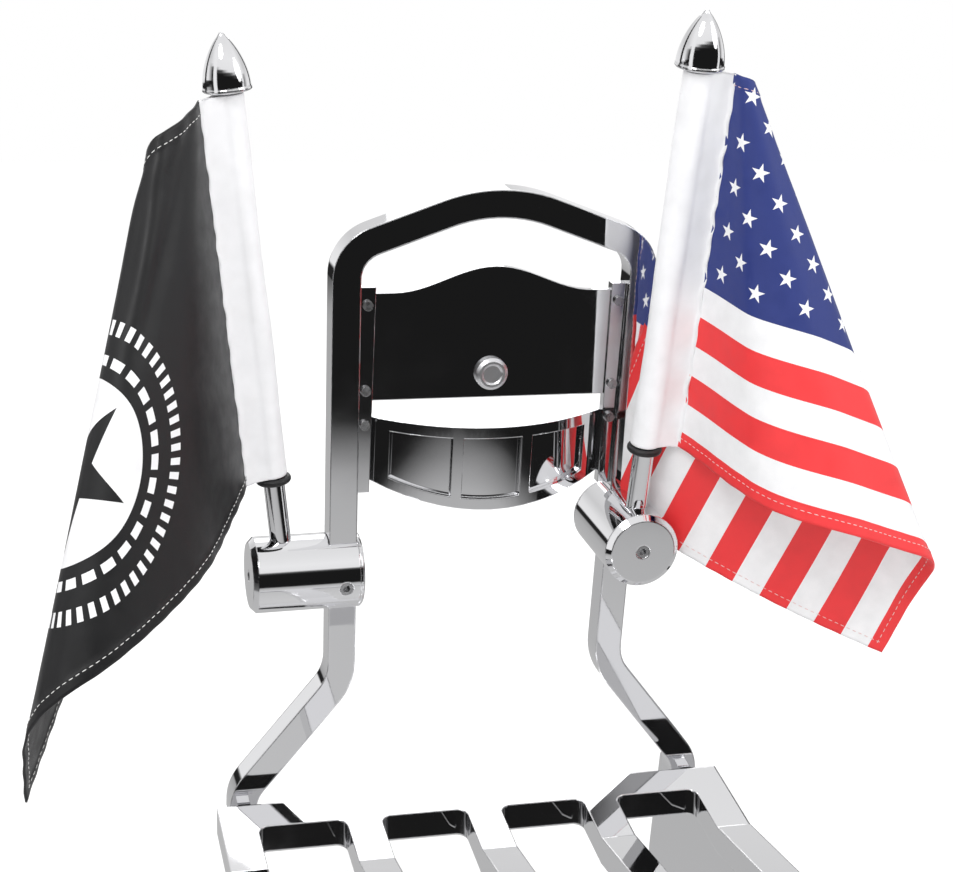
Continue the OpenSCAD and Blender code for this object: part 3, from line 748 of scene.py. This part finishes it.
class FLAGMOUNT_OT_hardware(bpy.types.Operator):
    """Steel on the screws and rubber on the rings"""
    bl_idname = "flagmount.hardware"
    bl_label = "Finish the screws and rings"

    def execute(self, context):
        steel = steel_finish("screw steel")
        rubber = rubber_finish("ring rubber", context.scene.flagmount_finishes.rubber)
        paint("bracket_screws", steel)
        for side in SIDES:
            paint(side + "_bar_screw", steel)
            paint(side + "_pole_screw", steel)
            paint(side + "_ring", rubber)
        return {"FINISHED"}


class FLAGMOUNT_OT_flags(bpy.types.Operator):
    """The two hung flags with their sleeves and stitches"""
    bl_idname = "flagmount.flags"
    bl_label = "Hang the flags"

    def execute(self, context):
        sizes, looks = context.scene.flagmount_flags, context.scene.flagmount_finishes
        cloths = {"left": roundel_cloth("black flag cloth", sizes, looks),
                  "right": striped_cloth("striped flag cloth", sizes, looks)}
        threads = {"left": thread_finish("white thread", (0.78, 0.78, 0.76)),
                   "right": thread_finish("pale thread", (0.80, 0.55, 0.54))}
        sleeve_material = sleeve_cloth("sleeve cotton", looks)
        tree = stitch_tree()
        for side in SIDES:
            flag, cloth = make_flag(side, sizes, cloths[side])
            sleeve = make_sleeve(side, sizes, sleeve_material)
            stitches = sew(side + "_stitches", hem_lines(cloth, sizes), tree, sizes, threads[side])
            for piece in (flag, sleeve, stitches):
                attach(piece, side + "_cloth")
            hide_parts(side + "_flag")
            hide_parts(side + "_sleeve")
        return {"FINISHED"}


def stage_plane(name, size, place):
    mesh = bpy.data.meshes.new(name)
    h = size / 2
    mesh.from_pydata([(-h, -h, 0), (h, -h, 0), (h, h, 0), (-h, h, 0)], [], [(0, 1, 2, 3)])
    made = bpy.data.objects.new(name, mesh)
    made.location = place
    bpy.context.scene.collection.objects.link(made)
    return made


def mirror_room():
    """A dome seen only in the chrome: pale boxes above and below, dark between them."""
    mesh = bpy.data.meshes.new("mirror_room")
    points, faces = [], []
    for i in range(ROOM_RINGS + 1):
        a = math.pi * i / ROOM_RINGS
        for j in range(ROOM_AROUND):
            b = 2 * math.pi * j / ROOM_AROUND
            points.append((ROOM_R * math.sin(a) * math.cos(b), ROOM_R * math.sin(a) * math.sin(b),
                           ROOM_R * math.cos(a)))
    for i in range(ROOM_RINGS):
        low, high = i * ROOM_AROUND, (i + 1) * ROOM_AROUND
        for j in range(ROOM_AROUND):
            k = (j + 1) % ROOM_AROUND
            faces.append((low + j, low + k, high + k, high + j))
    mesh.from_pydata(points, [], faces)
    room = bpy.data.objects.new("mirror_room", mesh)
    room.location = (0, 0, ROOM_Z)
    bpy.context.scene.collection.objects.link(room)
    room.visible_camera = room.visible_diffuse = room.visible_shadow = False
    room.visible_transmission = room.visible_volume_scatter = False
    s = Shader("mirror room")
    s.tree.nodes.remove(s.bsdf)
    split = s.add("ShaderNodeSeparateXYZ")
    unit_dir = s.add("ShaderNodeVectorMath", operation="NORMALIZE")
    s.put(s.object_coords(), unit_dir.inputs[0])
    s.put(unit_dir.outputs[0], split.inputs[0])
    x, y, z = split.outputs

    def ramp(value, tones):
        node = s.add("ShaderNodeValToRGB")
        band = node.color_ramp
        band.elements[0].position, band.elements[1].position = tones[0][0], tones[-1][0]
        band.elements[0].color, band.elements[1].color = ([v, v, v, 1] for v in (tones[0][1], tones[-1][1]))
        for place, v in tones[1:-1]:
            band.elements.new(place).color = [v, v, v, 1]
        s.put(s.spread(value, -1, 1, 0, 1), node.inputs[0])
        return node.outputs[0]

    level = s.mix(s.spread(y, -0.15, 0.25, 0, 1), ramp(z, ROOM_REAR), ramp(z, ROOM_FRONT))
    turn = s.math("ARCTAN2", x, s.math("MULTIPLY", y, -1))
    for centre, width, low, high, tone in ROOM_STRIPS:
        strip = both(s, s.math("LESS_THAN", s.math("ABSOLUTE", s.math("SUBTRACT", turn, centre)), width),
                     s.math("GREATER_THAN", z, low), s.math("LESS_THAN", z, high))
        level = s.mix(strip, level, (tone, tone, tone))
    glow = s.add("ShaderNodeEmission")
    s.put(level, glow.inputs["Color"])
    glow.inputs["Strength"].default_value = 1.0
    s.put(glow.outputs[0], s.tree.nodes["Material Output"].inputs["Surface"])
    mesh.materials.append(s.material)


def area_light(name, light, target, power):
    place, size = light
    data = bpy.data.lights.new(name, "AREA")
    data.shape, data.size, data.energy = "DISK", size, power
    made = bpy.data.objects.new(name, data)
    made.location = place
    made.rotation_euler = (Vector(target) - Vector(place)).to_track_quat("-Z", "Y").to_euler()
    made.visible_camera = False
    bpy.context.scene.collection.objects.link(made)
    return made


class FLAGMOUNT_OT_stage(bpy.types.Operator):
    """Pale floor, soft lights and the camera"""
    bl_idname = "flagmount.stage"
    bl_label = "Set the studio"

    def execute(self, context):
        scene, studio = context.scene, context.scene.flagmount_studio
        floor = stage_plane("floor", FLOOR_SIZE, (0, 0, FLOOR_Z))
        s = Shader("pale floor")
        s.bsdf.inputs["Roughness"].default_value = 0.85
        s.bsdf.inputs["Specular IOR Level"].default_value = 0.0
        s.put(s.mix(s.noise(s.object_coords(), 3, 2), studio.floor, tuple(0.99 * c for c in studio.floor)),
              s.bsdf.inputs["Base Color"])
        floor.data.materials.append(s.material)
        floor.visible_glossy = False
        mirror_room()
        world = bpy.data.worlds.new("studio")
        world.use_nodes = True
        sky = world.node_tree.nodes["Background"]
        sky.inputs["Color"].default_value = (1, 1, 1, 1)
        sky.inputs["Strength"].default_value = 1.0
        scene.world = world
        area_light("key light", KEY_LIGHT, KEY_AIM, studio.key_power)
        area_light("fill light", FILL_LIGHT, FILL_AIM, studio.fill_power)
        area_light("back light", BACK_LIGHT, BACK_AIM, studio.fill_power)
        sky_light = bpy.data.lights.new("sky light", "SUN")
        sky_light.energy, sky_light.angle = studio.sky_power, math.radians(SKY_ANGLE)
        overhead = bpy.data.objects.new("sky light", sky_light)
        overhead.rotation_euler = (*map(math.radians, SKY_TILT), 0)
        overhead.visible_glossy = False
        scene.collection.objects.link(overhead)
        camera = bpy.data.objects.new("camera", bpy.data.cameras.new("camera"))
        turn = Matrix((CAMERA_RIGHT, CAMERA_UP, -Vector(CAMERA_AIM))).transposed().to_4x4()
        camera.matrix_world = Matrix.Translation(CAMERA_AT) @ turn
        camera.data.sensor_width, camera.data.lens = SENSOR_W, LENS
        camera.data.clip_start = CLIP_START
        scene.collection.objects.link(camera)
        scene.camera = camera
        scene.view_settings.view_transform = "Standard"
        return {"FINISHED"}


class FLAGMOUNT_PT_panel(bpy.types.Panel):
    """Buttons that build the looks piece by piece"""
    bl_idname = "FLAGMOUNT_PT_panel"
    bl_label = "Flag mount"
    bl_space_type = "VIEW_3D"
    bl_region_type = "UI"
    bl_category = "Flag mount"

    def draw(self, context):
        for operator in OPERATORS:
            self.layout.operator(operator.bl_idname)
        for group in ("flagmount_flags", "flagmount_finishes", "flagmount_studio"):
            settings = getattr(context.scene, group)
            for name in settings.__annotations__:
                self.layout.prop(settings, name)


OPERATORS = (FLAGMOUNT_OT_chrome, FLAGMOUNT_OT_hardware, FLAGMOUNT_OT_flags, FLAGMOUNT_OT_stage)
SETTINGS = (("flagmount_flags", FlagSizes), ("flagmount_finishes", Finishes), ("flagmount_studio", Studio))


def register():
    for _, group in SETTINGS:
        bpy.utils.register_class(group)
    for name, group in SETTINGS:
        setattr(bpy.types.Scene, name, bpy.props.PointerProperty(type=group))
    for kind in (*OPERATORS, FLAGMOUNT_PT_panel):
        bpy.utils.register_class(kind)


def unregister():
    for kind in (FLAGMOUNT_PT_panel, *reversed(OPERATORS)):
        bpy.utils.unregister_class(kind)
    for name, group in reversed(SETTINGS):
        delattr(bpy.types.Scene, name)
        bpy.utils.unregister_class(group)


def main():
    register()
    bpy.ops.flagmount.chrome()
    bpy.ops.flagmount.hardware()
    bpy.ops.flagmount.flags()
    bpy.ops.flagmount.stage()


if __name__ == "__main__":
    main()
